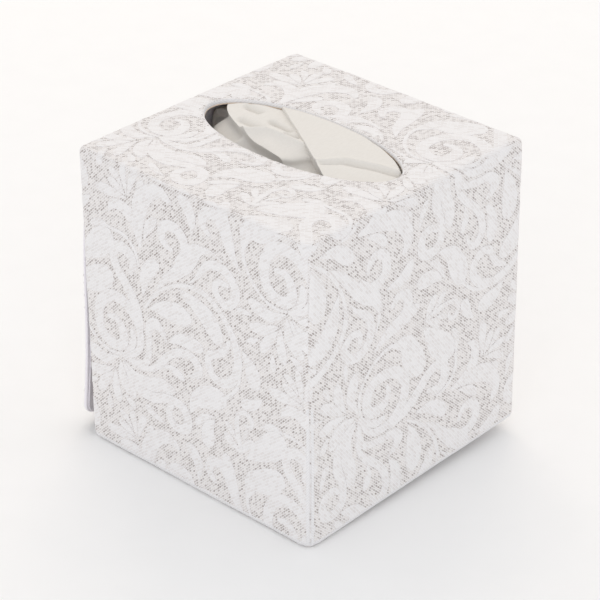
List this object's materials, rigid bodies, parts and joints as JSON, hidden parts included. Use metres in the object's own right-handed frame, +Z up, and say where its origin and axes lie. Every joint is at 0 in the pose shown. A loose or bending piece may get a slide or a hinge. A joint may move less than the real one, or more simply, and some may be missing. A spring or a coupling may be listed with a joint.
{
  "type": "tissue box",
  "caption": "Cloth-covered cube tissue box with an oval slot in its top, a hinged loading flap on its left side, plain lining and folded tissues inside.",
  "frame": {"origin": "on the standing surface, under the middle of the box's walls", "axes": "+Z up, +X to the right along the slot, -Y the front; the loading flap hangs on the left side, at -X"},
  "size_m": [0.1348, 0.125, 0.135],
  "materials": {
    "jacquard_cloth": "woven scroll pattern, off-white on heathered beige",
    "plain_lining": "plain weave, white",
    "tissue_paper": "matt, soft, warm white"
  },
  "bodies": {
    "cover": {"cover_shell": "jacquard_cloth", "cover_lining": "plain_lining", "tissue_stack": "tissue_paper", "following_tissue": "tissue_paper", "leading_tissue": "tissue_paper"},
    "flap": {"side_flap": "jacquard_cloth", "flap_lining": "plain_lining"}
  },
  "joints": [
    {"name": "flap_hinge", "type": "hinge", "parent": "cover", "child": "flap", "pos_m": [-0.0625, 0, 0.1296], "axis": [0, 1, 0], "range_deg": [-4.5, 115.5]}
  ]
}
